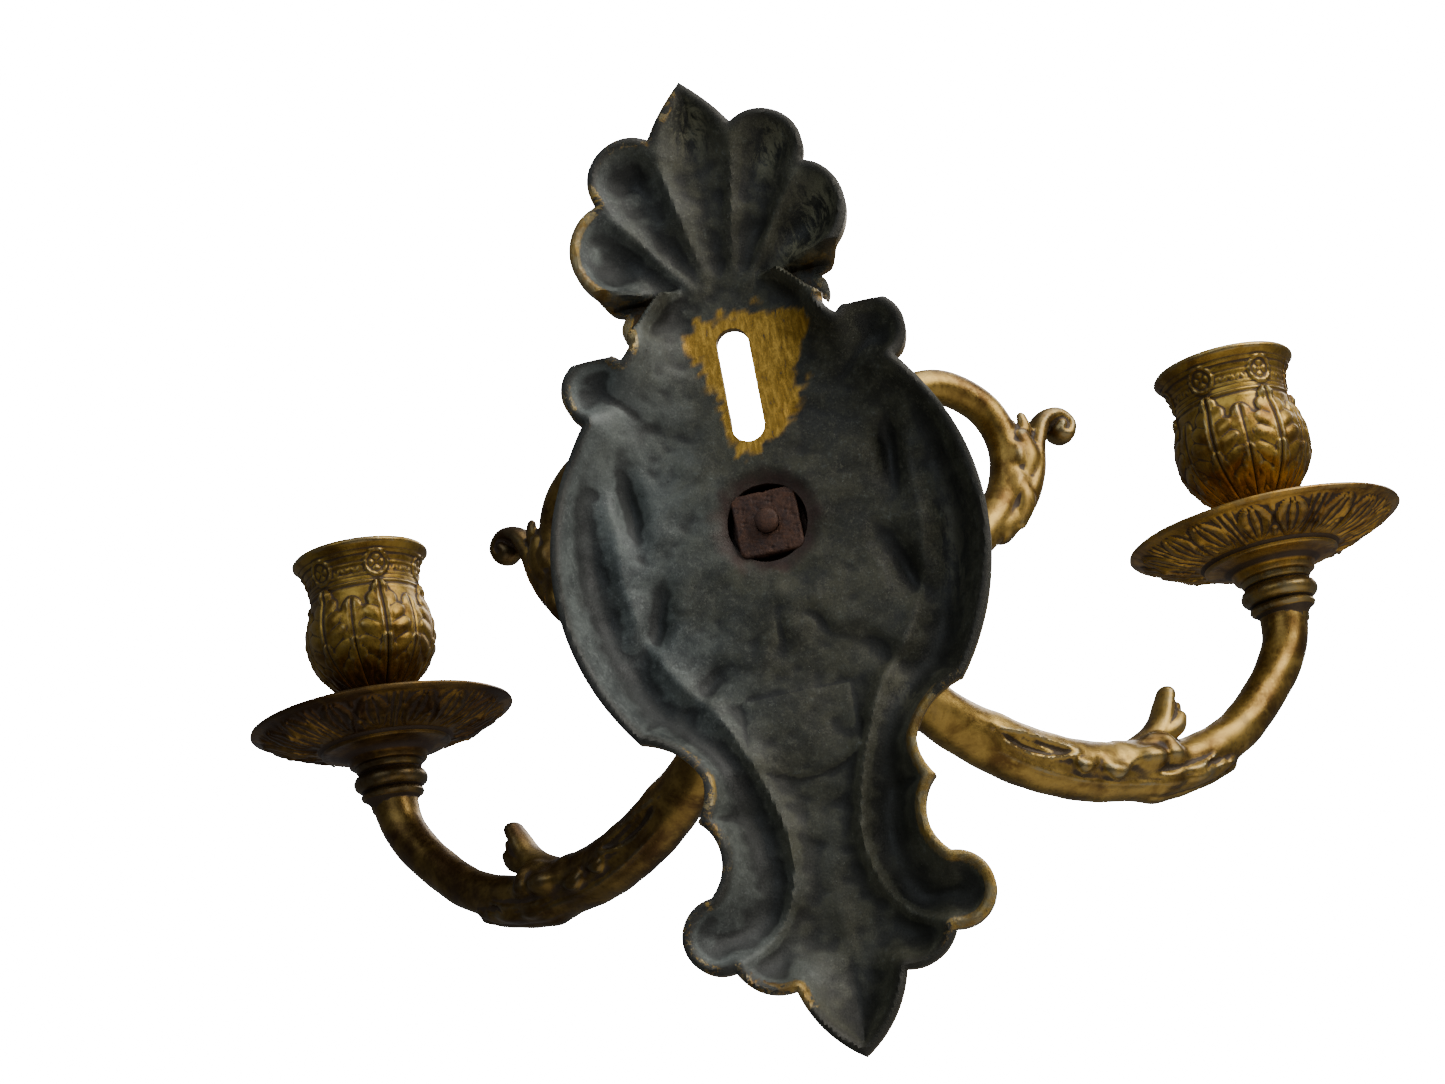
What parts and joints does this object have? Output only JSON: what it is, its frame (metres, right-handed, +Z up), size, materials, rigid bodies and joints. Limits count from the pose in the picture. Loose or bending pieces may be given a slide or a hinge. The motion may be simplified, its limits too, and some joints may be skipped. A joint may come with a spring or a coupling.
{
  "type": "wall sconce candle holder",
  "caption": "Ornate cast wall sconce: hollow scrolled backplate with hanging slot, splayed scroll arms on a central stud, dished drip pans and screw-on candle cups.",
  "frame": {"origin": "hanging point: on the wall plane and the centreline, at the upper end of the hanging slot", "axes": "+Z up; +Y into the wall, so the front faces -Y; +X to the right as seen from the front"},
  "size_m": [0.2838, 0.1296, 0.212],
  "materials": {
    "plate_patina": "dark blue-grey and olive patina on the back, worn gilt on the front and the rim",
    "rusty_iron": "dark red-brown rust",
    "aged_gilt": "aged gold paint over cast metal, dark in the recesses and rubbed bright on the edges",
    "pan_gilt": "aged gold paint, worn grey-green at the edge",
    "cup_gilt": "aged gold paint, rubbed on the ridges",
    "stud_brass": "dull threaded brass"
  },
  "bodies": {
    "plate": {"backplate": "plate_patina", "stud_boss": "plate_patina", "centre_stud": "rusty_iron", "stud_washer": "rusty_iron", "square_nut": "rusty_iron", "rosette_cap": "aged_gilt"},
    "arms": {"arm_left": "aged_gilt", "arm_right": "aged_gilt"},
    "pan_left": {"drip_pan_left": "pan_gilt"},
    "stud_left": {"cup_stud_left": "stud_brass"},
    "cup_left": {"candle_cup_left": "cup_gilt"},
    "pan_right": {"drip_pan_right": "pan_gilt"},
    "stud_right": {"cup_stud_right": "stud_brass"},
    "cup_right": {"candle_cup_right": "cup_gilt"}
  },
  "joints": [
    {"name": "arms_turn", "type": "hinge", "parent": "plate", "child": "arms", "pos_m": [0, -0.0255, -0.044], "axis": [0, 1, 0], "range_deg": [-10, 10]},
    {"name": "pan_left_turn", "type": "hinge", "parent": "arms", "child": "pan_left", "pos_m": [-0.1095, -0.09716, -0.044], "axis": [0, 0, 1], "continuous": true},
    {"name": "cup_left_rise", "type": "slide", "parent": "arms", "child": "stud_left", "axis": [0, 0, 1], "range_m": [0, 0.012]},
    {"name": "cup_left_turn", "type": "hinge", "parent": "stud_left", "child": "cup_left", "pos_m": [-0.1095, -0.09716, -0.044], "axis": [0, 0, 1], "range_deg": [0, 4320]},
    {"name": "pan_right_turn", "type": "hinge", "parent": "arms", "child": "pan_right", "pos_m": [0.1095, -0.09716, -0.044], "axis": [0, 0, 1], "continuous": true},
    {"name": "cup_right_rise", "type": "slide", "parent": "arms", "child": "stud_right", "axis": [0, 0, 1], "range_m": [0, 0.012]},
    {"name": "cup_right_turn", "type": "hinge", "parent": "stud_right", "child": "cup_right", "pos_m": [0.1095, -0.09716, -0.044], "axis": [0, 0, 1], "range_deg": [0, 4320]}
  ],
  "couplings": [
    {"joint": "cup_left_rise", "follows": "cup_left_turn", "m_per_rad": 0.000159},
    {"joint": "cup_right_rise", "follows": "cup_right_turn", "m_per_rad": 0.000159}
  ]
}
